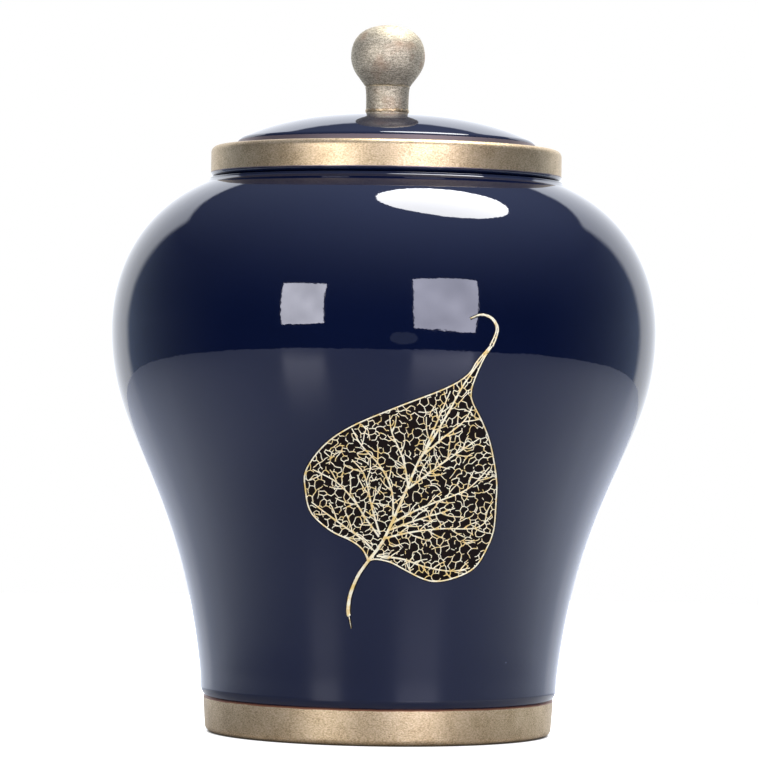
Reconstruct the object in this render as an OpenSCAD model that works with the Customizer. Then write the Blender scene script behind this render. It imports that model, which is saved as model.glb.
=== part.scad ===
// A lidded ceramic urn: a high-shouldered jar on a banded foot, a domed lid with
// a flat banded rim, and a turned metal knob. Every piece is a body of revolution
// about Z, standing on Z = 0.

/* [Jar] */
// Widest radius of the belly
belly_r = 100; // [95:0.5:110]
// Height of the widest point above the base
belly_z = 147.5; // [142:0.5:152]
// Height of the mouth, where the lid rests
mouth_z = 203; // [200:0.5:210]
// Outer radius of the mouth's lip
mouth_r = 63.8; // [62:0.2:68]
// Radius of the mouth's opening
bore_r = 56.5; // [54:0.5:58]
// Wall thickness of the thrown body
wall = 5; // [4:0.5:7]
// How upright the shoulder leaves the belly
shoulder_pull = 19; // [12:1:26]
// How far the shoulder's slope carries from the lip
lip_pull = 30; // [20:1:36]
// Slope of the shoulder at the lip, below level
lip_slope = 22; // [15:1:32]
// How upright the belly turns down into the waist
waist_pull = 43; // [34:1:52]
// How far the waist's near-vertical line carries up from the foot
foot_pull = 77; // [60:1:86]
// Lean of the wall just above the foot
foot_lean = 5.4; // [2:0.2:9]

/* [Foot] */
// Radius of the wall where it rolls in above the foot band
waist_r = 65; // [63:0.2:68]
// Height of the foot band
foot_h = 12.8; // [10:0.2:16]
// Radius of the foot band at its top
foot_top_r = 64.2; // [62.5:0.1:65]
// Radius of the foot band where its lower edge starts to round
foot_low_r = 63.6; // [62:0.1:64.5]
// Radius of the rounding under the foot band
foot_round = 2.4; // [1.5:0.1:4]
// How far the glaze rolls in above the foot band
roll_in = 1.3; // [0.6:0.1:2]
// Width of the foot ring that the urn stands on
ring_w = 7; // [5:0.5:12]
// Depth of the hollow inside the foot ring
recess = 3; // [2:0.5:4]
// Thickness of the floor above that hollow
floor_t = 6; // [5:0.5:8]

/* [Lid] */
// Radius of the lid's rim
rim_r = 64.4; // [63:0.2:66]
// Height of the rim, from the mouth up
rim_h = 11.4; // [9:0.2:14]
// Radius of the rounding on the rim's top edge
rim_round = 2.4; // [1:0.1:3.5]
// Radius of the rounding on the rim's lower edge
rim_tuck = 1.5; // [0.8:0.1:2]
// Radius where the collar rises from the rim
collar_r = 55.4; // [53:0.2:58]
// Height of the collar above the rim
collar_h = 2.1; // [1:0.1:4]
// How far the collar leans in
collar_in = 0.9; // [0.2:0.1:2]
// Radius of the rounding from the collar to the dome
brow_round = 2.3; // [1:0.1:4]
// Height of the crown above the mouth
crown_h = 23.8; // [20:0.2:28]
// Slope of the dome above the collar, above level
dome_slope = 26; // [18:1:40]
// How level the dome leaves the crown
crown_pull = 20; // [12:1:24]
// How far the dome's slope carries up from the collar
dome_pull = 11; // [8:0.5:18]
// Thickness of the lid's shell
lid_wall = 5; // [4:0.5:6]
// Clearance between the locating ring and the mouth
ring_gap = 1; // [0.5:0.1:1.5]
// Thickness of the locating ring
ring_t = 4; // [3:0.5:5]
// How far the locating ring reaches into the mouth
ring_drop = 7; // [5:0.5:10]

/* [Knob] */
// Radius of the ball
ball_r = 13.6; // [12:0.2:15]
// Height of the ball's widest point above the crown
ball_z = 21.6; // [20:0.2:24]
// Height of the knob above the crown
knob_h = 33.1; // [31:0.2:36]
// Radius of the neck
stem_r = 8; // [7:0.1:9]
// Height where the ball's underside meets the neck
crease_z = 10.4; // [9:0.2:12]
// Radius of the seat on the crown
seat_r = 8.6; // [8.2:0.1:9.5]
// How far the ball's underside carries its slope up from the neck
under_pull = 4; // [2:0.2:6]
// How upright the ball's side is below its widest point
low_pull = 5.4; // [3:0.2:7]
// How upright the ball's side is above its widest point
high_pull = 7; // [4:0.2:8]
// How flat the ball's top is
top_pull = 9.2; // [6:0.2:11]

/* [Smoothness] */
// Steps along each long curve
steps = 22; // [12:2:40]

/* [Hidden] */
$fn = 160;
// Steps around each small rounding
corner_steps = 6;
rim_top = mouth_z + rim_h;
crown_z = mouth_z + crown_h;
// Step up from the foot band to the glaze, and the height of the glaze's rolled edge
band_step = 0.3;
roll_h = 3.8;
roll_z = foot_h + roll_h;
// Rounding outside the mouth, and the slope where the bore meets the inside wall
lip_round = 1;
throat = 1.5;
// Rounding between the floor and the inside wall
floor_corner = 12;
floor_z = recess + floor_t;
// Lean of the lid's collar, and the centre of the rounding above it
collar_lean = atan2(collar_in, collar_h);
brow_c = [collar_r - collar_in, rim_top + collar_h] - brow_round * [cos(collar_lean), sin(collar_lean)];
// Bevel on edges that are out of sight
bevel = 1;
// How much the neck narrows, over which heights, and the lean of the ball's underside
neck_in = 0.2;
neck_low = 4;
neck_high = 7;
ball_lean = 30;

// Point at t on the cubic curve through a and d with handles b and c
function bezier(a, b, c, d, t) =
    pow(1 - t, 3) * a + 3 * t * pow(1 - t, 2) * b + 3 * t * t * (1 - t) * c + pow(t, 3) * d;

function curve(a, b, c, d, n) = [for (i = [0:n]) bezier(a, b, c, d, i / n)];

// Points of a circular arc about c, from angle u to angle v
function arc(c, r, u, v, n) =
    [for (i = [0:n]) let (w = u + (v - u) * i / n) c + r * [cos(w), sin(w)]];

// A line moved sideways by d, to the left of its direction
function unit_left(p, q) = let (v = q - p) [-v[1], v[0]] / norm(v);
function beside(pts, d) =
    [for (i = [0:len(pts) - 1])
        let (p = pts[max(i - 1, 0)], q = pts[min(i + 1, len(pts) - 1)])
        pts[i] + d * unit_left(p, q)];

function reversed(pts) = [for (i = [len(pts) - 1:-1:0]) pts[i]];

// Outer line of the jar's wall, from the foot up to the belly and on to the lip
function waist_line() = curve(
    [waist_r, roll_z],
    [waist_r + foot_pull * sin(foot_lean), roll_z + foot_pull * cos(foot_lean)],
    [belly_r, belly_z - waist_pull],
    [belly_r, belly_z], steps);
function shoulder_line() = curve(
    [belly_r, belly_z],
    [belly_r, belly_z + shoulder_pull],
    [mouth_r + lip_pull * cos(lip_slope), mouth_z - lip_round + lip_pull * sin(-lip_slope)],
    [mouth_r, mouth_z - lip_round], steps);

// Outer line of the lid's dome, from the knob's seat down to the rounding over the collar
function dome_line() = let (low = brow_c + brow_round * [sin(dome_slope), cos(dome_slope)]) curve(
    [seat_r, crown_z],
    [seat_r + crown_pull, crown_z],
    low + dome_pull * [-cos(dome_slope), sin(dome_slope)],
    low, steps);

module jar() {
    outside = concat(
        [[foot_low_r - foot_round, 0]],
        arc([foot_low_r - foot_round, foot_round], foot_round, -90, 0, corner_steps),
        [[foot_top_r, foot_h]],
        curve([waist_r - roll_in, foot_h + band_step], [waist_r - roll_in / 4, foot_h + roll_h / 3],
              [waist_r, roll_z - roll_h / 4], [waist_r, roll_z], corner_steps),
        waist_line(),
        shoulder_line(),
        arc([mouth_r - lip_round, mouth_z - lip_round], lip_round, 30, 90, corner_steps));
    wall_line = concat(waist_line(), shoulder_line());
    inner = [for (p = beside(wall_line, wall))
        if (p[1] > floor_z + floor_corner && p[1] < mouth_z - 2 * wall && p[0] > bore_r) p];
    inside = concat(
        [[0, floor_z]],
        arc([inner[0][0] - floor_corner, floor_z + floor_corner], floor_corner, -90, 0, corner_steps),
        inner,
        [[bore_r + throat, mouth_z - wall], [bore_r, mouth_z - wall + throat],
         [bore_r, mouth_z - bevel], [bore_r + bevel, mouth_z]]);
    underside = [
        [foot_low_r - foot_round - ring_w, 0],
        [foot_low_r - foot_round - ring_w - bevel, recess],
        [0, recess]];
    color("midnightblue")
    rotate_extrude() polygon(concat(underside, inside, reversed(outside)));
}

module lid() {
    ring_r = bore_r - ring_gap;
    brow = arc(brow_c, brow_round, 90 - dome_slope, collar_lean, corner_steps);
    outside = concat(
        [[0, crown_z]],
        dome_line(),
        [for (i = [1:corner_steps]) brow[i]],
        [[collar_r, rim_top]],
        arc([rim_r - rim_round, rim_top - rim_round], rim_round, 90, 0, corner_steps),
        arc([rim_r - rim_tuck, mouth_z + rim_tuck], rim_tuck, 0, -90, corner_steps));
    under = [for (p = beside(dome_line(), -lid_wall)) if (p[0] < ring_r - ring_t) p];
    locating_ring = [
        [ring_r, mouth_z],
        [ring_r, mouth_z - ring_drop + bevel],
        [ring_r - bevel, mouth_z - ring_drop],
        [ring_r - ring_t, mouth_z - ring_drop]];
    color("midnightblue")
    rotate_extrude() polygon(concat(outside, locating_ring, reversed(under), [[0, crown_z - lid_wall]]));
}

module knob() {
    base = [0, crown_z];
    widest = base + [ball_r, ball_z];
    crease = base + [stem_r + neck_in, crease_z];
    top = base + [0, knob_h];
    profile = concat(
        [base],
        curve(base + [stem_r, 0], base + [stem_r - neck_in, neck_low],
              base + [stem_r - neck_in, neck_high], crease, corner_steps),
        curve(crease, crease + under_pull * [sin(ball_lean), cos(ball_lean)],
              widest - [0, low_pull], widest, steps / 2),
        curve(widest, widest + [0, high_pull], top + [top_pull, 0], top, steps / 2));
    color("tan")
    rotate_extrude() polygon(profile);
}

jar();
lid();
knob();
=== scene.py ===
from math import atan2, cos, degrees, dist, exp, hypot, pi, radians, sin, tan
import random
from functools import partial
import bpy
from mathutils import Matrix, Vector, geometry


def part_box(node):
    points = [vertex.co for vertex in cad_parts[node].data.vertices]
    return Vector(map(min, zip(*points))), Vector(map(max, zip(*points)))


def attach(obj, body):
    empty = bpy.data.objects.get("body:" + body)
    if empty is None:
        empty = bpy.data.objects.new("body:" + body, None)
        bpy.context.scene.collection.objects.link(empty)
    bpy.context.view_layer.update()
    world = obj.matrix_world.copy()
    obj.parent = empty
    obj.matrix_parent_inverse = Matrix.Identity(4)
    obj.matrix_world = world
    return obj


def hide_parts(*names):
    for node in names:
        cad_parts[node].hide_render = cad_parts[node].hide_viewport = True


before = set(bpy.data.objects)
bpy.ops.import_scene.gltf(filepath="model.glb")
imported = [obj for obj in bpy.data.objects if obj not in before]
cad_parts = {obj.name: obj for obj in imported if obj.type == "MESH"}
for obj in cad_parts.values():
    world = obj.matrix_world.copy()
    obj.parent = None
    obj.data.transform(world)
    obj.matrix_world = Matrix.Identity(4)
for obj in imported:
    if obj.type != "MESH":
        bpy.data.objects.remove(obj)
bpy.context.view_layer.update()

mm = 0.001          # every size below is in millimetres unless it says otherwise
cornerSteps = 8     # steps round each small rounding
browSteps = 10      # steps round a rounding that shows


def toLinear(hexColour):
    parts = [int(hexColour[i:i + 2], 16) / 255 for i in (1, 3, 5)]
    return [p / 12.92 if p <= 0.04045 else ((p + 0.055) / 1.055) ** 2.4 for p in parts] + [1.0]


def addNode(tree, kind, inputs=None, **settings):
    # an input may be a number, a socket, or a node, whose first live output is then linked
    node = tree.nodes.new(kind)
    for name, value in settings.items():
        setattr(node, name, value)
    for key, value in (inputs or {}).items():
        if isinstance(value, bpy.types.Node):
            value = next(socket for socket in value.outputs if socket.enabled)
        if isinstance(value, bpy.types.NodeSocket):
            tree.links.new(value, node.inputs[key])
        else:
            node.inputs[key].default_value = value
    return node


def setStops(ramp, first, *others):
    # each stop is its position and colour, from low to high
    stops = ramp.color_ramp.elements
    for stop, (position, colour) in zip(stops, (first, others[-1])):
        stop.position = position
        stop.color = toLinear(colour)
    for position, colour in others[:-1]:
        stops.new(position).color = toLinear(colour)


def newTree(name, sockets):
    # a Geometry Nodes tree with its named inputs, the identifier of each of them, and what adds its nodes
    tree = bpy.data.node_groups.new(name, "GeometryNodeTree")
    tree.interface.new_socket("Geometry", in_out="OUTPUT", socket_type="NodeSocketGeometry")
    tree.interface.new_socket("Geometry", in_out="INPUT", socket_type="NodeSocketGeometry")
    ids = {}
    for label, kind in sockets.items():
        ids[label] = tree.interface.new_socket(label, in_out="INPUT", socket_type=kind).identifier
    return tree, ids, partial(addNode, tree)


def newObject(name, data):
    made = bpy.data.objects.new(name, data)
    bpy.context.scene.collection.objects.link(made)
    return made


def runTree(name, mesh, tree, ids, values):
    # runs the tree on a mesh and keeps the result as a plain mesh, with no modifier left
    source = newObject(name + "Source", mesh)
    modifier = source.modifiers.new(tree.name, "NODES")
    modifier.node_group = tree
    for label, value in values.items():
        modifier[ids[label]] = value
    graph = bpy.context.evaluated_depsgraph_get()
    made = bpy.data.meshes.new_from_object(source.evaluated_get(graph))
    bpy.data.objects.remove(source)
    made.name = name
    return newObject(name, made)


def bezier(a, b, c, d, steps):
    points = []
    for i in range(steps + 1):
        t = i / steps
        k = ((1 - t) ** 3, 3 * t * (1 - t) ** 2, 3 * t * t * (1 - t), t ** 3)
        points.append(tuple(k[0] * a[n] + k[1] * b[n] + k[2] * c[n] + k[3] * d[n] for n in (0, 1)))
    return points


def arc(centre, radius, start, end, steps):
    turns = [radians(start + (end - start) * i / steps) for i in range(steps + 1)]
    return [(centre[0] + radius * cos(t), centre[1] + radius * sin(t)) for t in turns]


def beside(points, distance):
    # the same line moved to the left of its direction
    moved = []
    for i, point in enumerate(points):
        p, q = points[max(i - 1, 0)], points[min(i + 1, len(points) - 1)]
        length = hypot(q[0] - p[0], q[1] - p[1])
        moved.append((point[0] - distance * (q[1] - p[1]) / length,
                      point[1] + distance * (q[0] - p[0]) / length))
    return moved


def smoothLine(points, step):
    # a smooth line through the points, with a new point about every step
    ends = [points[0]] + list(points) + [points[-1]]
    line = []
    for i in range(1, len(ends) - 2):
        p = ends[i - 1:i + 3]
        count = max(1, round(dist(p[1], p[2]) / step))
        for n in range(count):
            t = n / count
            line.append(tuple(0.5 * (2 * p[1][k] + (p[2][k] - p[0][k]) * t
                        + (2 * p[0][k] - 5 * p[1][k] + 4 * p[2][k] - p[3][k]) * t * t
                        + (3 * p[1][k] - p[0][k] - 3 * p[2][k] + p[3][k]) * t ** 3) for k in (0, 1)))
    return line + [tuple(points[-1])]


glazeLook = {
    "colour": "#0B132C", "colourDeep": "#080F24", "toneLength": 45.0,
    "roughness": 0.03,
    "rippleLength": 13.0, "rippleHeight": 0.05,   # the slow wave of a thick poured glaze
    "peelLength": 1.4, "peelHeight": 0.0055,      # its fine orange peel
    "speckSpacing": 17.0, "speckRadius": 0.24, "speckColour": "#6F778C", "speckRoughness": 0.4,
    "speckless": 0.6,     # more of this leaves fewer specks
}
# each shade in the looks below has its place on the pattern, from 0 to 1, and its colour
paintLook = {
    "dark": (0.34, "#A68D67"), "mid": (0.5, "#CFB78E"), "light": (0.66, "#E3CEA8"),
    "grain": 0.7,         # a real grain is finer: this is as fine as it shows
    "grainHeight": 0.085, "grainFlat": 1.8,
    "patch": 7.0, "patchShare": 0.25,
    "roughness": 0.43, "metallic": 0.96,
}
brassLook = {
    "dark": (0.36, "#89806C"), "mid": (0.5, "#CABEA2"), "light": (0.62, "#EEE4C9"),
    "streak": 0.4, "streakStretch": 4.5, "streakHeight": 0.026,
    "grain": 0.42, "grainShare": 0.5,
    "warm": "#B98F6C", "warmPatch": 11.0, "warmFrom": 0.54, "warmTo": 0.7, "warmMost": 0.6,
    "roughness": 0.64, "metallic": 0.88,
}
leafLook = {"deep": (0.36, "#EDCD7C"), "light": (0.56, "#FBF1CB"), "patch": 2.6, "roughness": 0.5,
            "metallic": 0.15}
clayLook = {"speck": (0.3, "#B9AE9E"), "body": (0.5, "#D9D2C6"), "grain": 0.8, "grainHeight": 0.04,
            "roughness": 0.75}
# the burnt edge of the gold paint: a thin coppery line where it thins out over the glaze
trimLook = {"colour": "#8A5A3E", "roughness": 0.4, "metallic": 0.5}
# gold so thin that the glaze shows through, along the lower edge of the lid's band and on the collar under
# its dome; its dim mauve-grey is partly painted reflection: the bluish ceiling that the gold mirrors is
# painted into its colour
thinGoldReflectionLook = {"colour": "#8A7B79", "roughness": 0.46, "metallic": 0.9}
# the dark size that the leaf's gilt is laid on: brown-black and almost without shine
groundLook = {"colour": "#140B06", "roughness": 0.75, "metallic": 0.0, "shine": 0.12}


def newMaterial(name, colour):
    # an empty material, what adds its nodes, and the object's own coordinates
    material = bpy.data.materials.new(name)
    material.use_nodes = True
    material.diffuse_color = toLinear(colour)
    material.node_tree.nodes.clear()
    add = partial(addNode, material.node_tree)
    return material, add, add("ShaderNodeTexCoord").outputs["Object"]


def makeGlaze():
    # fired glaze over stoneware: glass-smooth, almost black blue, so it mirrors the room and ripples slightly
    look = glazeLook
    material, add, place = newMaterial("navyGlaze", look["colour"])
    noises = (("rippleLength", 1.5), ("peelLength", 1.0), ("toneLength", 2.0))
    ripple, peel, tone = (add("ShaderNodeTexNoise", {"Vector": place, "Scale": 1000 / look[name],
            "Detail": detail}) for name, detail in noises)
    cells = add("ShaderNodeTexVoronoi", {"Vector": place, "Scale": 1000 / look["speckSpacing"]})
    dot = add("ShaderNodeMapRange", {"Value": cells.outputs["Distance"],
            "From Min": look["speckRadius"] / look["speckSpacing"], "From Max": 0.0}, clamp=True)
    pick = add("ShaderNodeSeparateColor", {"Color": cells.outputs["Color"]})
    some = add("ShaderNodeMath", {0: pick.outputs["Red"], 1: look["speckless"]}, operation="GREATER_THAN")
    speck = add("ShaderNodeMath", {0: dot, 1: some}, operation="MULTIPLY")
    wave = add("ShaderNodeBump", {"Height": ripple, "Distance": look["rippleHeight"] * mm})
    skin = add("ShaderNodeBump", {"Height": peel, "Distance": look["peelHeight"] * mm, "Normal": wave})
    colour = add("ShaderNodeMix", {"Factor": tone, "A": toLinear(look["colourDeep"]),
            "B": toLinear(look["colour"])}, data_type="RGBA")
    dusted = add("ShaderNodeMix", {"Factor": speck, "A": colour, "B": toLinear(look["speckColour"])},
            data_type="RGBA")
    rough = add("ShaderNodeMapRange", {"Value": speck, "To Min": look["roughness"],
            "To Max": look["speckRoughness"]})
    shader = add("ShaderNodeBsdfPrincipled", {"Base Color": dusted, "IOR": 1.5, "Roughness": rough,
            "Normal": skin})
    add("ShaderNodeOutputMaterial", {"Surface": shader})
    return material


def makePaint():
    # gold powder paint, dabbed on and fired: a satin metal skin with a sandy grain that glints in the light
    look = paintLook
    material, add, place = newMaterial("goldPaint", look["mid"][1])
    flat = add("ShaderNodeMapping", {"Vector": place, "Scale": (1, 1, look["grainFlat"])})
    grain = add("ShaderNodeTexNoise", {"Vector": flat, "Scale": 1000 / look["grain"], "Detail": 2.0,
            "Roughness": 0.6})
    patch = add("ShaderNodeTexNoise", {"Vector": place, "Scale": 1000 / look["patch"], "Detail": 2.0})
    both = add("ShaderNodeMix", {"Factor": look["patchShare"], "A": grain, "B": patch})
    ramp = add("ShaderNodeValToRGB", {"Fac": both})
    setStops(ramp, look["dark"], look["mid"], look["light"])
    bump = add("ShaderNodeBump", {"Height": grain, "Distance": look["grainHeight"] * mm})
    shader = add("ShaderNodeBsdfPrincipled", {"Base Color": ramp, "Normal": bump,
            "Roughness": look["roughness"], "Metallic": look["metallic"]})
    add("ShaderNodeOutputMaterial", {"Surface": shader})
    return material


def makeBrass():
    # turned and wire-brushed brass, left bare: fine rings round the axis, warm and grey tarnish in patches
    look = brassLook
    material, add, place = newMaterial("brushedBrass", look["mid"][1])
    rings = add("ShaderNodeMapping", {"Vector": place, "Scale": (1, 1, look["streakStretch"])})
    streak = add("ShaderNodeTexNoise", {"Vector": rings, "Detail": 3.0, "Roughness": 0.65,
            "Scale": 1000 / (look["streak"] * look["streakStretch"])})
    grain = add("ShaderNodeTexNoise", {"Vector": place, "Scale": 1000 / look["grain"], "Detail": 2.0})
    both = add("ShaderNodeMix", {"Factor": look["grainShare"], "A": streak, "B": grain})
    ramp = add("ShaderNodeValToRGB", {"Fac": both})
    setStops(ramp, look["dark"], look["mid"], look["light"])
    patch = add("ShaderNodeTexNoise", {"Vector": place, "Scale": 1000 / look["warmPatch"], "Detail": 2.0})
    warm = add("ShaderNodeMapRange", {"Value": patch, "From Min": look["warmFrom"],
            "From Max": look["warmTo"], "To Max": look["warmMost"]})
    colour = add("ShaderNodeMix", {"Factor": warm, "A": ramp, "B": toLinear(look["warm"])}, data_type="RGBA")
    bump = add("ShaderNodeBump", {"Height": both, "Distance": look["streakHeight"] * mm})
    shader = add("ShaderNodeBsdfPrincipled", {"Base Color": colour, "Normal": bump,
            "Roughness": look["roughness"], "Metallic": look["metallic"]})
    add("ShaderNodeOutputMaterial", {"Surface": shader})
    return material


def makeLeafGold():
    # raised gilt line work, fired matt: pale gold with little metal in it, so its lines read from any side
    look = leafLook
    material, add, place = newMaterial("leafGilt", look["light"][1])
    patch = add("ShaderNodeTexNoise", {"Vector": place, "Scale": 1000 / look["patch"], "Detail": 3.0})
    ramp = add("ShaderNodeValToRGB", {"Fac": patch})
    setStops(ramp, look["deep"], look["light"])
    shader = add("ShaderNodeBsdfPrincipled", {"Base Color": ramp, "Roughness": look["roughness"],
            "Metallic": look["metallic"]})
    add("ShaderNodeOutputMaterial", {"Surface": shader})
    return material


def makeClay():
    # bare fired stoneware, where the glaze was wiped off: matt, chalky, faintly speckled
    look = clayLook
    material, add, place = newMaterial("bareStoneware", look["body"][1])
    grain = add("ShaderNodeTexNoise", {"Vector": place, "Scale": 1000 / look["grain"], "Detail": 4.0})
    ramp = add("ShaderNodeValToRGB", {"Fac": grain})
    setStops(ramp, look["speck"], look["body"])
    bump = add("ShaderNodeBump", {"Height": grain, "Distance": look["grainHeight"] * mm})
    shader = add("ShaderNodeBsdfPrincipled", {"Base Color": ramp, "Normal": bump, "IOR": 1.5,
            "Roughness": look["roughness"]})
    add("ShaderNodeOutputMaterial", {"Surface": shader})
    return material


def makePlain(name, colour, roughness, metallic, shine=0.5):
    # for the three finishes that only show as thin lines or as the leaf's ground
    material, add = newMaterial(name, colour)[:2]
    shader = add("ShaderNodeBsdfPrincipled", {"Base Color": toLinear(colour), "Roughness": roughness,
            "Metallic": metallic, "Specular IOR Level": shine})
    add("ShaderNodeOutputMaterial", {"Surface": shader})
    return material


finishes = {
    "glaze": makeGlaze(), "paint": makePaint(), "brass": makeBrass(), "leaf": makeLeafGold(),
    "clay": makeClay(), "trim": makePlain("paintEdge", **trimLook),
    "thinGoldPaintedReflection": makePlain("thinGoldPaintedReflection", **thinGoldReflectionLook), "ground": makePlain("leafGround", **groundLook),
}
print("finishes made")


# the jar, lid and knob are turned: a profile is swept round the axis
turning = {
    "finishCount": 4,
    "waverRadius": 65.0,   # the painted edges wander as on a circle of this radius
    "weld": 0.004,
    "crisp": 32.0,         # an edge that bends more than this many degrees stays sharp
}


def makeTurningTree():
    sockets = {"Steps round": "NodeSocketInt", "Waver": "NodeSocketFloat", "Waver length": "NodeSocketFloat"}
    for number in range(turning["finishCount"]):
        sockets["Finish %d" % number] = "NodeSocketMaterial"
    tree, ids, add = newTree("Turn a profile", sockets)
    given = add("NodeGroupInput").outputs
    profile = given["Geometry"]
    count = add("GeometryNodeAttributeDomainSize", {"Geometry": profile},
            component="MESH").outputs["Point Count"]
    columns = add("ShaderNodeMath", {0: given["Steps round"], 1: 1.0}, operation="ADD")
    grid = add("GeometryNodeMeshGrid", {"Vertices X": columns, "Vertices Y": count})
    index = add("GeometryNodeInputIndex")
    along = add("FunctionNodeIntegerMath", {0: index, 1: count}, operation="MODULO")
    column = add("FunctionNodeIntegerMath", {0: index, 1: count}, operation="DIVIDE_FLOOR")
    share = add("ShaderNodeMath", {0: column, 1: given["Steps round"]}, operation="DIVIDE")
    angle = add("ShaderNodeMath", {0: share, 1: 2 * pi}, operation="MULTIPLY")
    cosine, sine = (add("ShaderNodeMath", {0: angle}, operation=way) for way in ("COSINE", "SINE"))
    # the painted edges wander a little as they go round
    radius = turning["waverRadius"] * mm
    around = add("ShaderNodeCombineXYZ", {"X": cosine, "Y": sine})
    onCircle = add("ShaderNodeVectorMath", {0: around, 1: (radius, radius, radius)}, operation="MULTIPLY")
    rate = add("ShaderNodeMath", {0: 1.0, 1: given["Waver length"]}, operation="DIVIDE")
    wander = add("ShaderNodeTexNoise", {"Vector": onCircle, "Scale": rate, "Detail": 3.0})
    centred = add("ShaderNodeMath", {0: wander, 1: 0.5}, operation="SUBTRACT")
    amount = add("ShaderNodeMath", {0: centred, 1: given["Waver"]}, operation="MULTIPLY")
    place = add("GeometryNodeInputPosition")
    drift = add("GeometryNodeInputNamedAttribute", {"Name": "drift"}, data_type="FLOAT_VECTOR")
    finish = add("GeometryNodeInputNamedAttribute", {"Name": "finish"}, data_type="INT")
    spot, sway = (add("GeometryNodeSampleIndex", {"Geometry": profile, "Value": value, "Index": along},
            data_type="FLOAT_VECTOR", domain="POINT") for value in (place, drift))
    swayed = add("ShaderNodeVectorMath", {0: sway, "Scale": amount}, operation="SCALE")
    moved = add("ShaderNodeVectorMath", {0: spot, 1: swayed}, operation="ADD")
    parts = add("ShaderNodeSeparateXYZ", {0: moved}).outputs
    x, y = (add("ShaderNodeMath", {0: parts["X"], 1: way}, operation="MULTIPLY") for way in (cosine, sine))
    put = add("ShaderNodeCombineXYZ", {"X": x, "Y": y, "Z": parts["Z"]})
    turned = add("GeometryNodeSetPosition", {"Geometry": grid, "Position": put})
    # each face takes the finish of its step of the profile
    bands = add("FunctionNodeIntegerMath", {0: count, 1: 1}, operation="SUBTRACT")
    band = add("FunctionNodeIntegerMath", {0: index, 1: bands}, operation="MODULO")
    chosen = add("GeometryNodeSampleIndex", {"Geometry": profile, "Value": finish, "Index": band},
            data_type="INT", domain="POINT")
    marked = add("GeometryNodeStoreNamedAttribute", {"Geometry": turned, "Name": "finish", "Value": chosen},
            data_type="INT", domain="FACE")
    welded = add("GeometryNodeMergeByDistance", {"Geometry": marked, "Distance": turning["weld"] * mm})
    outward = add("GeometryNodeFlipFaces", {"Mesh": welded})
    smooth = add("GeometryNodeSetShadeSmooth", {"Geometry": outward, "Shade Smooth": True}, domain="FACE")
    bend = add("GeometryNodeInputMeshEdgeAngle").outputs["Unsigned Angle"]
    crisp = add("FunctionNodeCompare", {"A": bend, "B": radians(turning["crisp"])}, data_type="FLOAT",
            operation="GREATER_THAN")
    cut = add("GeometryNodeSetShadeSmooth", {"Geometry": smooth, "Selection": crisp, "Shade Smooth": False},
            domain="EDGE")
    last = add("GeometryNodeRealizeInstances", {"Geometry": cut})
    for number in range(turning["finishCount"]):
        here = add("FunctionNodeCompare", {2: finish, 3: number}, data_type="INT", operation="EQUAL")
        last = add("GeometryNodeSetMaterial", {"Geometry": last, "Selection": here,
                "Material": given["Finish %d" % number]})
    add("NodeGroupOutput", {"Geometry": last})
    return tree, ids


turningTree, turningIds = makeTurningTree()


def turnPiece(name, profile, shape, materials):
    # profile steps are (radius, height, finish of the step after it, drift along radius, drift along height)
    mesh = bpy.data.meshes.new(name + "Profile")
    mesh.from_pydata([(p[0] * mm, 0, p[1] * mm) for p in profile],
                     [(i, i + 1) for i in range(len(profile) - 1)], [])
    finish = mesh.attributes.new("finish", "INT", "POINT")
    finish.data.foreach_set("value", [p[2] for p in profile])
    drift = mesh.attributes.new("drift", "FLOAT_VECTOR", "POINT")
    drift.data.foreach_set("vector", [v for p in profile for v in (p[3], 0, p[4])])
    values = {"Steps round": shape["stepsRound"], "Waver": shape["waver"] * mm,
              "Waver length": shape["waverLength"] * mm}
    for number in range(turning["finishCount"]):
        values["Finish %d" % number] = materials[min(number, len(materials) - 1)]
    return runTree(name, mesh, turningTree, turningIds, values)


def line(points, finish, drift=(0, 0)):
    return [(p[0], p[1], finish, drift[0], drift[1]) for p in points]


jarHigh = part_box("jar")[1]
lidLow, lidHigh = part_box("lid")
knobLow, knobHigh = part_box("knob")
glazed, painted, bare, trim = 0, 1, 2, 3   # finishes of the jar and the lid
brassy, gilt = 0, 1                        # finishes of the knob

# in each shape R is a radius and H a height, and Pull is how far a curve keeps its first direction
jarShape = {
    "bellyR": jarHigh.x / mm, "bellyZ": 147.5, "mouthZ": jarHigh.z / mm, "mouthR": 63.8, "boreR": 56.5,
    "wall": 5.0, "shoulderPull": 19.0, "lipPull": 30.0, "lipSlope": 22.0, "waistPull": 43.0,
    "footPull": 77.0, "footLean": 5.4, "waistR": 65.0, "lipRound": 1.0, "throat": 1.5, "bevel": 1.0,
    # the foot band, the rolled edge of the glaze above it, and the ring that it stands on
    "footH": 12.8, "footTopR": 64.2, "footLowR": 63.6, "footRound": 2.4, "bandIn": 0.1, "bandDown": 3.0,
    "rollIn": 1.3, "rollH": 3.8, "rollTop": 1.0, "rollLow": (0.33, 1.4), "bandStep": 0.3,
    "edgeH": 0.3, "edgeDrift": (0.5, 0.6, 1.2), "paintUnder": 0.6,
    "ringW": 7.0, "recess": 3.0, "floorT": 6.0, "floorCorner": 12.0,
    # slight beads where the thick glaze ends, above the foot band and round the lip
    "footBead": 0.28, "footBeadH": 2.6,
    "lipBead": 0.7, "lipBeadR": 64.3, "lipBeadDown": 0.2, "lipTurn": 12.0,
    "lipFall": (0.06, 0.3), "lipEase": 0.6, "lipJoin": 1.1,
    "stepsRound": 288, "stepsUp": 52, "waver": 0.5, "waverLength": 9.0,
}
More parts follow.
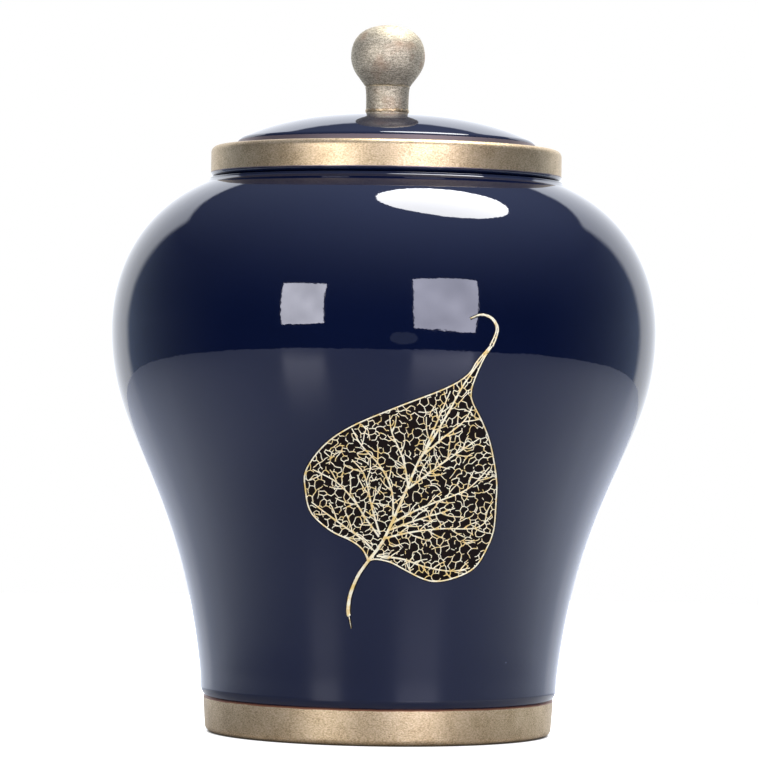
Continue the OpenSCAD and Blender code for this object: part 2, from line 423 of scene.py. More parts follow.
lidShape = {
    "rimR": lidHigh.x / mm, "rimH": 11.4, "rimRound": 2.4, "rimTuck": 1.5, "rimMid": 6.0, "underIn": 4.0,
    "crownZ": lidHigh.z / mm, "collarR": 55.4, "collarH": 2.1, "collarIn": 0.9, "browRound": 2.3,
    "domeSlope": 26.0, "crownPull": 20.0, "domePull": 11.0, "seatR": 8.6,
    "wall": 5.0, "ringGap": 1.0, "ringT": 4.0, "bevel": 1.0, "edgeH": 0.3, "edgeDrift": (0.6, 0.25),
    "stepsRound": 256, "stepsUp": 40, "waver": 0.7, "waverLength": 7.0,
}
knobShape = {
    "ballR": knobHigh.x / mm, "ballZ": 21.6, "topZ": (knobHigh.z - knobLow.z) / mm, "stemR": 8.0,
    "creaseZ": 10.4, "neckIn": 0.2, "neckHigh": 8.5, "neckLow": 6.0,
    "ballLean": 30.0, "underPull": 4.0, "lowPull": 5.4, "highPull": 7.0, "topPull": 9.2,
    # a scratch of a groove where the ball meets the neck
    "grooveIn": 0.3, "grooveUp": 0.12, "grooveOut": 0.06, "grooveDown": 0.16,
    # a smear of gilt round the neck's foot
    "smearZ": 1.5, "smearH": 0.55, "smearOut": 0.22, "smearGap": 0.3,
    "smearTop": (0, 1.2), "smearSide": (0.3, 0.7), "smearLow": (0, 0.8),
    "stepsRound": 128, "stepsUp": 24, "waver": 1.6, "waverLength": 7.0,
}


def makeJar():
    s = jarShape
    mouthZ, mouthR, boreR, footH = s["mouthZ"], s["mouthR"], s["boreR"], s["footH"]
    lean, slope = radians(s["footLean"]), radians(s["lipSlope"])
    rollZ = footH + s["rollH"]
    lipZ = mouthZ - s["lipRound"]
    belly = (s["bellyR"], s["bellyZ"])
    waist = bezier((s["waistR"], rollZ),
                   (s["waistR"] + s["footPull"] * sin(lean), rollZ + s["footPull"] * cos(lean)),
                   (belly[0], belly[1] - s["waistPull"]), belly, s["stepsUp"])
    shoulder = bezier(belly, (belly[0], belly[1] + s["shoulderPull"]),
                      (mouthR + s["lipPull"] * cos(slope), lipZ - s["lipPull"] * sin(slope)),
                      (mouthR, lipZ), s["stepsUp"])
    floorZ = s["recess"] + s["floorT"]
    cornerZ = floorZ + s["floorCorner"]
    inner = [p for p in beside(waist + shoulder[1:], s["wall"])
             if cornerZ < p[1] < mouthZ - 2 * s["wall"] and p[0] > boreR]
    inner = inner[::2]   # the inside needs half the points
    corner = arc((inner[0][0] - s["floorCorner"], cornerZ), s["floorCorner"], -90, 0, cornerSteps)
    throat = [(boreR + s["throat"], mouthZ - s["wall"]), (boreR, mouthZ - s["wall"] + s["throat"]),
              (boreR, mouthZ - s["bevel"])]
    waist = [(p[0] + s["footBead"] * exp((rollZ - p[1]) / s["footBeadH"]), p[1]) for p in waist]
    bead = arc((s["lipBeadR"], mouthZ - s["lipBeadDown"] - s["lipBead"]), s["lipBead"], 90, s["lipTurn"],
               cornerSteps)
    end = bead[-1]
    join = next(p for p in shoulder[::-1] if p[0] > end[0] + s["lipJoin"])
    lip = [(boreR + s["bevel"], mouthZ), (mouthR - s["lipRound"], mouthZ)] + bead
    lip += bezier(end, (end[0] + s["lipFall"][0], end[1] - s["lipFall"][1]),
                  (join[0] - s["lipEase"] * cos(slope), join[1] + s["lipEase"] * sin(slope)),
                  join, cornerSteps)[1:]
    shoulder = [p for p in shoulder if p[0] > join[0]]
    low = (waist[0][0], rollZ)
    roll = bezier(low, (low[0], rollZ - s["rollTop"]),
                  (s["waistR"] - s["rollLow"][0], footH + s["rollLow"][1]),
                  (s["waistR"] - s["rollIn"], footH + s["bandStep"]), browSteps)
    foot = s["footLowR"] - s["footRound"]
    under = arc((foot, s["footRound"]), s["footRound"], 0, -90, cornerSteps)
    high, mid, edge = s["edgeDrift"]
    profile = line([(0, floorZ)] + corner + inner + throat, bare)
    profile += line(lip + shoulder[::-1] + waist[-2::-1] + roll[1:-1], glazed)
    profile += line(roll[-1:], trim, (0, high)) + line([(s["footTopR"], footH)], trim, (0, mid))
    profile += line([(s["footTopR"], footH - s["edgeH"])], painted, (0, edge))
    profile += line([(s["footTopR"] - s["bandIn"], footH - s["bandDown"])] + under, painted)
    profile += line([(foot - s["paintUnder"], 0), (foot - s["ringW"], 0),
                     (foot - s["ringW"] - s["bevel"], s["recess"]), (0, s["recess"])], bare)
    return turnPiece("urnJar", profile, s,
                     [finishes["glaze"], finishes["paint"], finishes["clay"], finishes["trim"]])


def makeLid():
    s = lidShape
    mouthZ, rimR = jarShape["mouthZ"], s["rimR"]
    rimTop = mouthZ + s["rimH"]
    slope = radians(s["domeSlope"])
    lean = atan2(s["collarIn"], s["collarH"])
    collarTop = (s["collarR"] - s["collarIn"], rimTop + s["collarH"])
    browR = s["browRound"]
    brow = arc((collarTop[0] - browR * cos(lean), collarTop[1] - browR * sin(lean)), browR,
               90 - s["domeSlope"], degrees(lean), browSteps)
    start = brow[0]
    dome = bezier((s["seatR"], s["crownZ"]), (s["seatR"] + s["crownPull"], s["crownZ"]),
                  (start[0] - s["domePull"] * cos(slope), start[1] + s["domePull"] * sin(slope)),
                  start, s["stepsUp"])
    ringR = jarShape["boreR"] - s["ringGap"]
    ringZ = lidLow.z / mm
    under = [p for p in beside(dome, -s["wall"]) if p[0] < ringR - s["ringT"]]
    top = arc((rimR - s["rimRound"], rimTop - s["rimRound"]), s["rimRound"], 90, 0, cornerSteps)
    tuck = arc((rimR - s["rimTuck"], mouthZ + s["rimTuck"]), s["rimTuck"], 0, -90, cornerSteps)
    edge, low = s["edgeDrift"]
    profile = line([(0, s["crownZ"])] + dome + brow[1:-1], glazed) + line(brow[-1:], trim)
    profile += line([(s["collarR"], rimTop)] + top + [(rimR, mouthZ + s["rimMid"])], painted)
    profile += line([(rimR, tuck[0][1] + s["edgeH"])], trim, (0, edge))
    profile += line(tuck[:1], glazed, (0, low)) + line(tuck[1:], glazed)
    profile += line([(rimR - s["underIn"], mouthZ), (ringR, mouthZ), (ringR, ringZ + s["bevel"]),
                     (ringR - s["bevel"], ringZ), (ringR - s["ringT"], ringZ)], bare)
    profile += line(under[::-1][::2] + [(0, s["crownZ"] - s["wall"])], bare)
    return turnPiece("urnLid", profile, s,
                     [finishes["glaze"], finishes["paint"], finishes["clay"], finishes["thinGoldPaintedReflection"]])


def makeKnob():
    s = knobShape
    base = knobLow.z / mm
    lean = radians(s["ballLean"])
    crease = (s["stemR"] + s["neckIn"], base + s["creaseZ"])
    widest = (s["ballR"], base + s["ballZ"])
    topZ = base + s["topZ"]
    upper = bezier((0, topZ), (s["topPull"], topZ), (widest[0], widest[1] + s["highPull"]), widest,
                   s["stepsUp"])
    under = (crease[0] + s["underPull"] * sin(lean), crease[1] + s["underPull"] * cos(lean))
    lower = bezier(widest, (widest[0], widest[1] - s["lowPull"]), under, crease, s["stepsUp"])
    groove = [(crease[0] - s["grooveIn"], crease[1] + s["grooveUp"]),
              (crease[0] + s["grooveOut"], crease[1] - s["grooveDown"])]
    neckR = s["stemR"] - s["neckIn"]
    smearZ = base + s["smearZ"]
    neck = bezier(crease, (neckR, base + s["neckHigh"]), (neckR, base + s["neckLow"]),
                  (neckR, smearZ + s["smearH"] + s["smearGap"]), cornerSteps)
    smear = [(neckR + p[0] * s["smearOut"], smearZ + p[1] * s["smearH"])
             for p in arc((0, 0), 1.0, 90, -90, cornerSteps)]
    profile = line(upper + lower[1:-1] + groove + neck[1:], brassy)
    profile += line(smear[:1], gilt, s["smearTop"]) + line(smear[1:-1], gilt, s["smearSide"])
    profile += line(smear[-1:], brassy, s["smearLow"]) + line([(s["stemR"], base), (0, base)], brassy)
    return turnPiece("urnKnob", profile, s, [finishes["brass"], finishes["paint"]])


jar = makeJar()
lid = makeLid()
knob = makeKnob()
print("jar, lid and knob turned")


# a raised gilt skeleton leaf, drawn flat and then laid on the jar; widths are at a line's start and end
leafShape = {
    "height": 0.12, "sink": 0.04, "groundHeight": 0.04, "groundBorder": 0.9, "groundStep": 2.0,
    "rodSides": 5, "castFrom": -0.3,   # the lines are cast back onto the jar from here, in metres
    "outline": 0.72, "outlineThin": 0.6, "stem": (1.3, 1.7), "tip": (0.5, 0.2), "rib": (1.5, 0.6),
    "vein": (0.95, 0.5),
    # the curled tail is two lines that run together, with ties across
    "tail": (0.0, 0.45), "tailSide": (0.62, 0.5), "tailApart": 0.5, "tailTie": 0.4, "tailTieOut": 0.45,
    "tailGround": (1.6, 0.5),
    # branches leave a vein at an angle in degrees, every so many millimetres
    "branch": (0.6, 0.45), "branchFirst": (5, 3), "branchGap": (2.5, 5), "branchAngle": (38, 60),
    "branchBend": (0, 9), "branchSteps": (4, 8),
    # longer ties wander between the veins
    "ties": 85, "tie": (0.5, 0.4), "tieAcross": (-26, 40), "tieUp": (60, 126), "tieWays": (5, 65),
    "tieBend": 28, "tieStep": 0.9,
    # the fine net
    "cell": 2.1, "stretch": 1.22, "rowPitch": 0.866, "jitter": 0.6, "bigCells": 0.1, "gaps": 0.19,
    "loose": 0.22, "looseReach": (0.45, 0.8), "wave": 0.16, "netWidth": (0.34, 0.48), "netTaper": 0.92,
    "shortest": 0.15,
    "corner": (-30, 56), "across": 76, "up": 90,   # the field that holds the leaf
    "seed": 7,
}
# points on the jar's front, across and up
leafLeft = [(36.9, 141.6), (32.2, 136.0), (29.2, 131.4), (21.7, 126.6), (4.9, 119.8), (-10.5, 113.0),
            (-20.1, 106.2), (-26.3, 97.4), (-26.5, 90.4), (-24.5, 82.6), (-17.7, 76.4), (-10.0, 72.7),
            (-6.1, 69.6), (-4.3, 65.8)]
leafRight = [(-4.3, 65.8), (-1.5, 66.5), (3.7, 65.4), (8.7, 62.8), (15.4, 59.6), (21.0, 58.9), (28.8, 61.1),
             (33.7, 64.4), (37.1, 70.1), (39.6, 77.1), (40.2, 87.7), (40.2, 94.1), (39.0, 101.5),
             (37.1, 109.0), (34.4, 115.4), (31.1, 121.6), (30.4, 125.0), (31.4, 129.4), (34.3, 136.4),
             (37.3, 141.2)]
leafTail = [(37.1, 141.4), (38.5, 144.6), (39.1, 147.6), (37.9, 150.2), (35.8, 151.7), (33.0, 152.1),
            (29.6, 150.7)]
leafStem = [(-4.3, 65.8), (-7.7, 60.7), (-10.4, 53.9), (-11.1, 47.9), (-10.7, 46.2)]
leafTip = [(-10.8, 46.4), (-9.9, 41.9)]
leafRib = [(-4.3, 65.8), (0.8, 72.9), (6.5, 85.7), (12.8, 101.2), (17.9, 109.6), (24.2, 121.1), (27.9, 128.1),
           (33.5, 136.3), (36.6, 140.8)]
leafVeins = [
    [(-0.3, 75.3), (-3.1, 84.4), (-4.8, 92.0), (-6.6, 97.3), (-10.4, 101.4)],
    [(-0.6, 74.5), (-5.6, 81.3), (-9.1, 86.6), (-15.6, 93.4), (-24.0, 97.7)],
    [(-2.8, 69.9), (-6.7, 73.7), (-13.6, 78.5), (-20.4, 83.3), (-24.3, 86.3)],
    [(4.2, 81.5), (3.6, 90.6), (-0.3, 98.9), (-7.1, 106.4), (-10.6, 112.3)],
    [(9.2, 93.0), (7.2, 102.1), (3.3, 111.0), (2.4, 117.0)],
    [(13.9, 102.9), (18.9, 115.0), (23.2, 125.6)],
    [(14.7, 103.7), (20.6, 109.0), (28.0, 115.2), (30.9, 120.5)],
    [(9.3, 91.5), (16.3, 96.9), (22.3, 101.5), (33.4, 109.2)],
    [(3.8, 79.2), (10.6, 83.1), (17.3, 86.2), (30.1, 91.7), (37.5, 99.4)],
    [(3.1, 76.9), (13.6, 80.9), (19.7, 82.8), (25.7, 84.8)],
    [(0.9, 73.8), (10.7, 76.2), (21.3, 77.5), (33.5, 77.9), (38.8, 82.5)],
    [(-1.3, 67.6), (7.8, 66.6), (15.5, 64.0), (24.7, 62.5), (31.5, 63.6)],
]


def isInside(point, outline):
    inside = False
    for i in range(len(outline)):
        a, b = outline[i - 1], outline[i]
        if (a[1] > point[1]) != (b[1] > point[1]):
            if point[0] < a[0] + (b[0] - a[0]) * (point[1] - a[1]) / (b[1] - a[1]):
                inside = not inside
    return inside


def clipToOutline(a, b, outline):
    # the part of the step from a that lies inside, or nothing
    if not isInside(a, outline):
        a, b = b, a
    if not isInside(a, outline):
        return None
    if isInside(b, outline):
        return a, b
    for i in range(len(outline)):
        hit = geometry.intersect_line_line_2d(a, b, outline[i - 1], outline[i])
        if hit:
            return a, (hit.x, hit.y)
    return None


def drawTail():
    s = leafShape
    tail = smoothLine(leafTail, 0.6)
    drawn = []
    for side in (-s["tailApart"], s["tailApart"]):
        # each line starts beside the tail's middle and meets it at the tip
        path = [(p[0] + (q[0] - p[0]) * (1 - i / len(tail)), p[1] + (q[1] - p[1]) * (1 - i / len(tail)))
                for i, (p, q) in enumerate(zip(tail, beside(tail, side)))]
        drawn.append((path, *s["tailSide"]))
    near, far = beside(tail, -s["tailTieOut"]), beside(tail, s["tailTieOut"])
    for i in range(2, len(tail) - 8, 3):
        drawn.append(([near[i], far[i + 1]], s["tailTie"], s["tailTie"]))
    return tail, drawn


def drawBranches(points, outline, dice):
    # small branches leave each side of a vein in turn
    s = leafShape
    drawn = []
    side = dice.choice((-1, 1))
    at = s["branchFirst"][0] + dice.random() * s["branchFirst"][1]
    while at < len(points) - 4:
        i = int(at)
        way = atan2(points[i + 1][1] - points[i][1], points[i + 1][0] - points[i][0])
        way += side * radians(dice.uniform(*s["branchAngle"]))
        branch, spot = [points[i]], points[i]
        for _ in range(dice.randint(*s["branchSteps"])):
            way -= side * radians(dice.uniform(*s["branchBend"]))
            spot = (spot[0] + cos(way), spot[1] + sin(way))
            if not isInside(spot, outline):
                break
            branch.append(spot)
        if len(branch) > 2:
            drawn.append((branch, *s["branch"]))
        side = -side
        at += dice.uniform(*s["branchGap"])
    return drawn


def drawTies(outline, dice):
    s = leafShape
    drawn = []
    for _ in range(s["ties"]):
        path = [(dice.uniform(*s["tieAcross"]), dice.uniform(*s["tieUp"]))]
        way = radians(dice.choice(s["tieWays"]) + dice.uniform(-s["tieBend"], s["tieBend"]))
        for _ in range(dice.randint(*s["branchSteps"])):
            way += radians(dice.uniform(-s["tieBend"], s["tieBend"]))
            spot = path[-1]
            path.append((spot[0] + s["tieStep"] * cos(way), spot[1] + s["tieStep"] * sin(way)))
        if all(isInside(point, outline) for point in path):
            drawn.append((path, *s["tie"]))
    return drawn


def drawNet(outline, dice):
    # the fine net is the dual of a jittered grid's triangles
    s = leafShape
    pitch, left, low = s["cell"], *s["corner"]
    seeds = []
    for row in range(int(s["up"] / (pitch * s["rowPitch"]))):
        for column in range(int(s["across"] / pitch)):
            if dice.random() > s["bigCells"]:
                along = column + 0.5 * (row % 2) + dice.uniform(-1, 1) * s["jitter"]
                up = row * s["rowPitch"] + dice.uniform(-1, 1) * s["jitter"]
                seeds.append(Vector((left + along * pitch * s["stretch"], low + up * pitch)))
    made = geometry.delaunay_2d_cdt(seeds, [], [], 0, 1e-5)
    points, faces = made[0], made[2]
    centres = [sum((points[i] for i in face), Vector((0, 0))) / 3 for face in faces]
    shared = {}
    for number, face in enumerate(faces):
        for i in range(3):
            shared.setdefault(tuple(sorted((face[i - 1], face[i]))), []).append(number)
    drawn = []
    for pair in shared.values():
        if len(pair) < 2:
            continue
        luck = dice.random()
        a, b = (tuple(centres[n]) for n in (pair if dice.random() < 0.5 else pair[::-1]))
        bend = dice.uniform(-1, 1) * s["wave"]
        width = dice.uniform(*s["netWidth"])
        reach = dice.uniform(*s["looseReach"])
        if luck < s["gaps"]:
            continue
        if luck < s["gaps"] + s["loose"]:
            b = (a[0] + (b[0] - a[0]) * reach, a[1] + (b[1] - a[1]) * reach)
        kept = clipToOutline(a, b, outline)
        if not kept or dist(*kept) < s["shortest"]:
            continue
        a, b = kept
        length = dist(a, b)
        middle = ((a[0] + b[0]) / 2 - (b[1] - a[1]) / length * bend,
                  (a[1] + b[1]) / 2 + (b[0] - a[0]) / length * bend)
        drawn.append(([a, middle, b], width, width * s["netTaper"]))
    return drawn


def drawLeaf():
    # every line of the leaf as (points, width at its start, width at its end)
    s = leafShape
    dice = random.Random(s["seed"])
    left, right = smoothLine(leafLeft, 1.0), smoothLine(leafRight, 1.0)
    outline = left + right[1:-1]
    tail, tailLines = drawTail()
    rim = [(left, s["outlineThin"], s["outline"]), (right, s["outline"], s["outlineThin"]),
           (smoothLine(leafStem, 0.8), *s["stem"]), (leafTip, *s["tip"])]
    wider = s["groundBorder"]
    border = [(path, first + wider, last + wider) for path, first, last in rim + [(tail, *s["tailGround"])]]
    drawn = rim + [(tail, *s["tail"])] + tailLines + [(smoothLine(leafRib, 1.0), *s["rib"])]
    for vein in leafVeins:
        points = smoothLine(vein, 1.0)
        drawn.append((points, *s["vein"]))
        drawn += drawBranches(points, outline, dice)
    drawn += drawTies(outline, dice)
    drawn += drawNet(outline, dice)
    return drawn, border, outline


def fillOutline(outline):
    # a closed thin sheet inside the outline: points above and below, and faces
    s = leafShape
    step, left, low = s["groundStep"], *s["corner"]
    inner = [Vector((left + i * step, low + k * step))
             for i in range(int(s["across"] / step)) for k in range(int(s["up"] / step))]
    inner = [p for p in inner if isInside(p, outline) and min(dist(p, q) for q in outline) > step * 0.6]
    ring = [Vector(p) for p in outline]
    made = geometry.delaunay_2d_cdt(ring + inner, [], [list(range(len(ring)))], 1, 1e-5)
    flat, faces = made[0], made[2]
    count = len(flat)
    uses = {}
    for face in faces:
        for i in range(3):
            uses[(face[i - 1], face[i])] = True
    walls = [(a + count, b + count, b, a) for a, b in uses if (b, a) not in uses]
    points = [(p.x, p.y, 1.0) for p in flat] + [(p.x, p.y, -1.0) for p in flat]
    return points, list(faces) + [tuple(i + count for i in face[::-1]) for face in faces] + walls


def makeLeafTree():
    tree, ids, add = newTree("Lay relief on jar", {
        "Jar": "NodeSocketObject", "Height": "NodeSocketFloat", "Ground height": "NodeSocketFloat",
        "Sink": "NodeSocketFloat", "Gilt": "NodeSocketMaterial", "Ground": "NodeSocketMaterial"})
    given = add("NodeGroupInput").outputs
    ground, sheet, width = (add("GeometryNodeInputNamedAttribute", {"Name": name}, data_type="FLOAT")
            for name in ("ground", "sheet", "width"))
    apart = add("GeometryNodeSeparateGeometry", {"Geometry": given["Geometry"], "Selection": sheet},
            domain="POINT").outputs
    lines = add("GeometryNodeMeshToCurve", {"Mesh": apart["Inverted"]})
    level = add("GeometryNodeSetCurveNormal", {"Curve": lines}, mode="Z_UP")
    half = add("ShaderNodeMath", {0: width, 1: 0.5}, operation="MULTIPLY")
    sized = add("GeometryNodeSetCurveRadius", {"Curve": level, "Radius": half})
    ring = add("GeometryNodeCurvePrimitiveCircle", {"Resolution": leafShape["rodSides"], "Radius": 1.0},
            mode="RADIUS")
    radius = add("GeometryNodeInputRadius")
    swept = add("GeometryNodeCurveToMesh", {"Curve": sized, "Profile Curve": ring, "Scale": radius,
            "Fill Caps": True})
    # the round rod is flattened: its half above the surface to the relief's height, the rest sunk
    place = add("ShaderNodeSeparateXYZ", {0: add("GeometryNodeInputPosition")}).outputs
    up = add("ShaderNodeMath", {0: place["Z"], 1: 0.0}, operation="GREATER_THAN")
    tall = add("ShaderNodeMix", {"Factor": ground, "A": given["Height"], "B": given["Ground height"]})
    reach = add("ShaderNodeMath", {0: tall, 1: up}, operation="MULTIPLY")
    rise = add("ShaderNodeMath", {0: reach, 1: given["Sink"]}, operation="SUBTRACT")
    start = add("ShaderNodeCombineXYZ", {"X": place["X"], "Y": leafShape["castFrom"], "Z": place["Y"]})
    target = add("GeometryNodeObjectInfo", {"Object": given["Jar"]}, transform_space="RELATIVE")
    cast = add("GeometryNodeRaycast", {"Target Geometry": target.outputs["Geometry"],
            "Source Position": start, "Ray Direction": (0, 1, 0), "Ray Length": 1.0}).outputs
    lift = add("ShaderNodeVectorMath", {0: cast["Hit Normal"], "Scale": rise}, operation="SCALE")
    there = add("ShaderNodeVectorMath", {0: cast["Hit Position"], 1: lift}, operation="ADD")
    joined = add("GeometryNodeJoinGeometry")
    tree.links.new(swept.outputs[0], joined.inputs[0])
    tree.links.new(apart["Selection"], joined.inputs[0])
    laid = add("GeometryNodeSetPosition", {"Geometry": joined, "Position": there})
    smooth = add("GeometryNodeSetShadeSmooth", {"Geometry": laid, "Shade Smooth": True}, domain="FACE")
    plain = add("GeometryNodeRealizeInstances", {"Geometry": smooth})
    gilded = add("GeometryNodeSetMaterial", {"Geometry": plain, "Material": given["Gilt"]})
    dark = add("ShaderNodeMath", {0: ground, 1: 0.5}, operation="GREATER_THAN")
    backed = add("GeometryNodeSetMaterial", {"Geometry": gilded, "Selection": dark,
            "Material": given["Ground"]})
    add("NodeGroupOutput", {"Geometry": backed})
    return tree, ids


def makeLeaf():
    s = leafShape
    mesh = bpy.data.meshes.new("leafLines")
    mesh.materials.append(finishes["ground"])
    drawn, border, outline = drawLeaf()
    sheet, faces = fillOutline(outline)
    points = [(p[0] * mm, p[1] * mm, p[2] * mm) for p in sheet]
    edges, widths, grounds = [], [0.0] * len(sheet), [1.0] * len(sheet)
    for paths, isGround in ((drawn, 0.0), (border, 1.0)):
        for path, first, last in paths:
            for i, spot in enumerate(path):
                if i:
                    edges.append((len(points) - 1, len(points)))
                points.append((spot[0] * mm, spot[1] * mm, 0))
                widths.append((first + (last - first) * i / (len(path) - 1)) * mm)
                grounds.append(isGround)
    mesh.from_pydata(points, edges, faces)
    isSheet = [float(i < len(sheet)) for i in range(len(points))]
    for name, values in (("width", widths), ("ground", grounds), ("sheet", isSheet)):
        mesh.attributes.new(name, "FLOAT", "POINT").data.foreach_set("value", values)
    tree, ids = makeLeafTree()
    return runTree("leafRelief", mesh, tree, ids, {
        "Jar": jar, "Height": (s["height"] + s["sink"]) * mm, "Sink": s["sink"] * mm,
        "Ground height": (s["groundHeight"] + s["sink"]) * mm,
        "Gilt": finishes["leaf"], "Ground": finishes["ground"]})


leaf = makeLeaf()
print("leaf laid on the jar:", len(leaf.data.polygons), "faces")


# each piece rides on the urn's one body
for piece, slotName, node in ((jar, "navy_glaze", "jar"), (lid, "navy_glaze", "lid"),
                              (knob, "brushed_brass", "knob"), (leaf, "gold_paint", None)):
    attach(piece, "root")
    if node:
        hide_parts(node)


# the studio: sizes here are in metres, and pairs are where a change starts and where it is complete
studio = {
    # the table's colours hold painted light and shade: grey painted shade in a ring round the urn and towards
    # the front, painted light towards the back, a bright painted pool of light right round the foot, and a
    # dark painted contact shadow where the foot touches
    "tableR": 1.0, "tableSteps": 128, "tableNearShade": "#9DA1AD", "tableFrontShade": "#959AA9", "tableBackLight": "#F0F6FF",
    "tableFootLightPool": "#DCDCDA", "tableContactShadow": "#26262A", "tableRoughness": 0.28, "nearRoughness": 0.65,
    "footShine": 0.2, "tableGlint": 0.22, "seenGlow": 0.9,
    "nearShadeEnds": (0.11, 0.2), "roughEnds": (0.1, 0.2), "frontShadeToBackLight": (-1.0, 0.15),
    "footLightEnds": (0.112, 0.132), "contactShadowEnds": (0.0615, 0.0645),
    "backdrop": (1.37, 1.42, 1.52), "sheetSide": (0.69, 0.77), "sheetTop": (0.70, 0.64),
    "sides": (0.37, 0.46, 0.64), "sidesTurn": (-0.45, 0.75), "sidesPower": 1.6, "sidesRise": (0.6, 0.05),
    "overhead": (0.5, 0.58, 0.86), "overheadPower": 2.2, "overheadLean": 0.3,
    "aim": (0, -0.09, 0.165), "clothScale": 1.7,
}
# each light: its turn from the front, rise, width, height and roll in degrees, as the urn sees it
lights = {
    "leftSoftbox": {"turn": -35.5, "rise": 13.5, "across": 18.5, "tall": 25.0, "away": 1.3, "radiance": 10.3,
                    "colour": (1, 1, 1.13), "shape": "RECTANGLE", "uneven": 0.15, "roll": 4.0},
    "rightSoftbox": {"turn": 26.9, "rise": 14.8, "across": 27.4, "tall": 32.0, "away": 1.3, "radiance": 7.6,
                     "colour": (1, 1, 1.2), "shape": "RECTANGLE", "uneven": 0.17, "roll": -4.0},
    "overheadDish": {"turn": 135.9, "rise": 70.8, "across": 30.8, "tall": 30.8, "away": 1.308,
                     "radiance": 15.5, "colour": (1, 1, 1), "shape": "ELLIPSE", "uneven": 0.0, "roll": 0.0},
    "lowCard": {"turn": 8.5, "rise": -4.9, "across": 12.0, "tall": 5.2, "away": 1.31, "radiance": 0.3,
                "colour": (1, 1.15, 1.5), "shape": "ELLIPSE", "uneven": 0.0, "roll": 0.0},
}
view = {"sensor": 36.0, "lens": 192.1, "shift": 0.0237, "at": (-0.0012, -1.490, 0.1232), "tilt": 90,
        "roll": 0.89}


def makeTable():
    s = studio
    mesh = bpy.data.meshes.new("table")
    turns = [2 * pi * i / s["tableSteps"] for i in range(s["tableSteps"])]
    mesh.from_pydata([(s["tableR"] * cos(t), s["tableR"] * sin(t), 0) for t in turns], [],
                     [list(range(s["tableSteps"]))])
    table = newObject("table", mesh)
    material, add, place = newMaterial("paleTable", s["tableNearShade"])
    away = add("ShaderNodeVectorMath", {0: place}, operation="LENGTH").outputs["Value"]
    far, outsideFootLightPool, outsideContactShadow = (add("ShaderNodeMapRange", {"Value": away, "From Min": start, "From Max": end},
            interpolation_type="SMOOTHSTEP")
            for start, end in (s["nearShadeEnds"], s["footLightEnds"], s["contactShadowEnds"]))
    # painted shade towards the front of the table, painted light towards the back
    outward = add("ShaderNodeVectorMath", {0: place}, operation="NORMALIZE")
    turned = add("ShaderNodeSeparateXYZ", {0: outward}).outputs
    back = add("ShaderNodeMapRange", {"Value": turned["Y"], "From Min": s["frontShadeToBackLight"][0],
            "From Max": s["frontShadeToBackLight"][1]})
    colour = add("ShaderNodeMix", {"Factor": back, "A": toLinear(s["tableFrontShade"]),
            "B": toLinear(s["tableBackLight"])}, data_type="RGBA")
    # then near the urn: a ring of painted shade round it, a bright painted pool of light right under its
    # foot, where more light bounces up onto the foot band, and a dark painted contact shadow where it touches
    for amount, paintedZone in ((far, "tableNearShade"), (outsideFootLightPool, "tableFootLightPool"), (outsideContactShadow, "tableContactShadow")):
        colour = add("ShaderNodeMix", {"Factor": amount, "A": toLinear(s[paintedZone]), "B": colour},
                data_type="RGBA")
    rough = add("ShaderNodeMapRange", {"Value": away, "From Min": s["roughEnds"][0],
            "From Max": s["roughEnds"][1], "To Min": s["nearRoughness"], "To Max": s["tableRoughness"]})
    rough = add("ShaderNodeMix", {"Factor": outsideFootLightPool, "A": s["footShine"], "B": rough})
    # the camera sees the table glow plain white, with the glow left off in the painted contact shadow at the
    # foot's edge
    seen = add("ShaderNodeLightPath").outputs["Is Camera Ray"]
    clear = add("ShaderNodeMath", {0: seen, 1: outsideContactShadow}, operation="MULTIPLY")
    glow = add("ShaderNodeMath", {0: clear, 1: s["seenGlow"]}, operation="MULTIPLY")
    shader = add("ShaderNodeBsdfPrincipled", {"Base Color": colour, "Roughness": rough, "IOR": 1.5,
            "Specular IOR Level": s["tableGlint"], "Emission Color": (1, 1, 1, 1), "Emission Strength": glow})
    add("ShaderNodeOutputMaterial", {"Surface": shader})
    mesh.materials.append(material)


def makeLights():
    aim = Vector(studio["aim"])
    for name, s in lights.items():
        turn, rise = radians(s["turn"]), radians(s["rise"])
        towards = Vector((sin(turn) * cos(rise), -cos(turn) * cos(rise), sin(rise)))
        data = bpy.data.lights.new(name, "AREA")
        data.shape = s["shape"]
        data.size = 2 * s["away"] * tan(radians(s["across"] / 2))
        data.size_y = 2 * s["away"] * tan(radians(s["tall"] / 2))
        area = data.size * data.size_y * (1 if s["shape"] == "RECTANGLE" else pi / 4)
        data.energy = s["radiance"] * pi * area
        data.color = s["colour"]
        data.use_nodes = True
        data.node_tree.nodes.clear()
        add = partial(addNode, data.node_tree)
        cloth = add("ShaderNodeNewGeometry").outputs["Parametric"]
        blotch = add("ShaderNodeTexNoise", {"Vector": cloth, "Scale": studio["clothScale"], "Detail": 1.0})
        level = add("ShaderNodeMapRange", {"Value": blotch, "From Min": 0.3, "From Max": 0.7,
                "To Min": 1 - s["uneven"], "To Max": 1 + s["uneven"]})
        glow = add("ShaderNodeEmission", {"Strength": level})
        add("ShaderNodeOutputLight", {"Surface": glow})
        light = newObject(name, data)
        light.location = aim + towards * s["away"]
        facing = (-towards).to_track_quat("-Z", "Y").to_matrix()
        light.rotation_euler = (facing @ Matrix.Rotation(radians(s["roll"]), 3, "Z")).to_euler()
        light.visible_camera = False


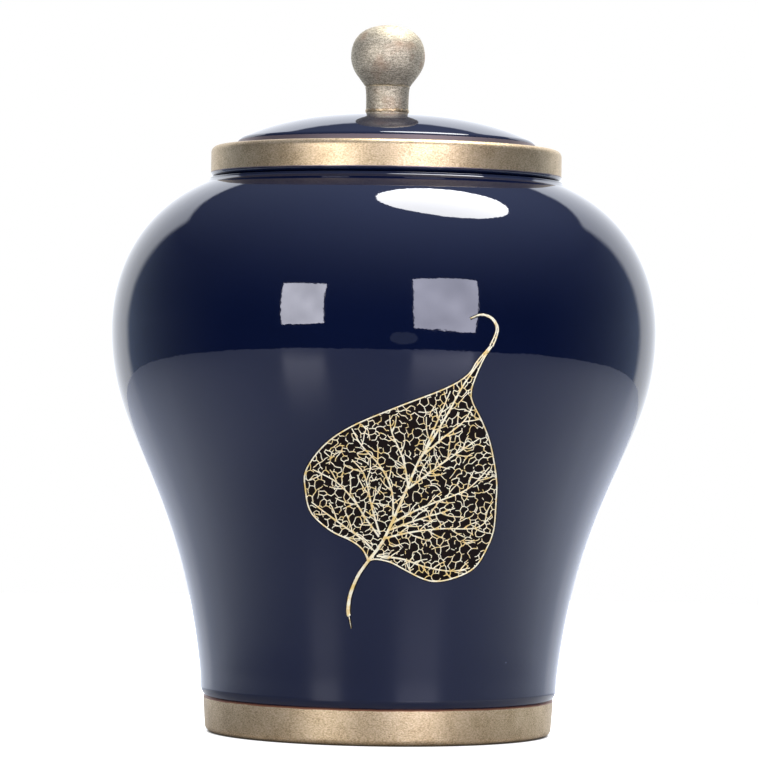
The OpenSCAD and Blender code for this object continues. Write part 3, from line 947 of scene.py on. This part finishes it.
def makeWorld():
    # a white sheet behind, a dark room in front, a bluish ceiling; the view itself sees plain white
    s = studio
    world = bpy.data.worlds.new("studio")
    bpy.context.scene.world = world
    world.use_nodes = True
    world.node_tree.nodes.clear()
    add = partial(addNode, world.node_tree)
    around = add("ShaderNodeTexCoord").outputs["Generated"]
    way = add("ShaderNodeSeparateXYZ", {0: around}).outputs
    square = add("ShaderNodeMath", {0: way["X"], 1: way["X"]}, operation="MULTIPLY")
    square = add("ShaderNodeMath", {0: way["Y"], 1: way["Y"], 2: square}, operation="MULTIPLY_ADD")
    level = add("ShaderNodeMath", {0: square, 1: 0.5}, operation="POWER")
    facing = add("ShaderNodeMath", {0: way["Y"], 1: level}, operation="DIVIDE")
    rise = add("ShaderNodeMath", {0: way["Z"], 1: level}, operation="DIVIDE")
    behind, below = (add("ShaderNodeMapRange", {"Value": value, "From Min": ends[0], "From Max": ends[1]},
            interpolation_type="SMOOTHSTEP")
            for value, ends in ((facing, s["sheetSide"]), (rise, s["sheetTop"])))
    sheet = add("ShaderNodeMath", {0: behind, 1: below}, operation="MULTIPLY")
    # the walls brighten towards the sheet and towards the floor, and end where the sheet starts
    turn, low = (add("ShaderNodeMapRange", {"Value": value, "From Min": ends[0], "From Max": ends[1]})
            for value, ends in ((facing, s["sidesTurn"]), (rise, s["sidesRise"])))
    sides = add("ShaderNodeMath", {0: turn, 1: s["sidesPower"]}, operation="POWER")
    beyond = add("ShaderNodeMath", {0: 1.0, 1: behind}, operation="SUBTRACT")
    for factor in (low, beyond):
        sides = add("ShaderNodeMath", {0: sides, 1: factor}, operation="MULTIPLY")
    high = add("ShaderNodeMath", {0: way["Z"], 1: 0.0}, operation="MAXIMUM")
    high = add("ShaderNodeMath", {0: high, 1: s["overheadPower"]}, operation="POWER")
    lean = add("ShaderNodeMath", {0: way["X"], 1: s["overheadLean"], 2: 1.0}, operation="MULTIPLY_ADD")
    high = add("ShaderNodeMath", {0: high, 1: lean}, operation="MULTIPLY")
    white, ceiling, walls = (add("ShaderNodeVectorMath", {0: s[name], "Scale": amount}, operation="SCALE")
            for name, amount in (("backdrop", sheet), ("overhead", high), ("sides", sides)))
    room = white
    for part in (ceiling, walls):
        room = add("ShaderNodeVectorMath", {0: room, 1: part}, operation="ADD")
    studioLight = add("ShaderNodeBackground", {"Color": room})
    plain = add("ShaderNodeBackground", {"Color": (1, 1, 1, 1)})
    seen = add("ShaderNodeLightPath").outputs["Is Camera Ray"]
    mixed = add("ShaderNodeMixShader", {0: seen, 1: studioLight, 2: plain})
    add("ShaderNodeOutputWorld", {"Surface": mixed})


def makeCamera():
    data = bpy.data.cameras.new("camera")
    data.sensor_width = view["sensor"]
    data.lens = view["lens"]
    data.shift_y = view["shift"]
    camera = newObject("camera", data)
    tilt = Matrix.Rotation(radians(view["tilt"]), 4, "X")
    roll = Matrix.Rotation(radians(view["roll"]), 4, "Z")
    camera.matrix_world = Matrix.Translation(view["at"]) @ tilt @ roll
    bpy.context.scene.camera = camera


makeTable()
makeLights()
makeWorld()
makeCamera()
bpy.context.scene.view_settings.view_transform = "Standard"
print("studio set")
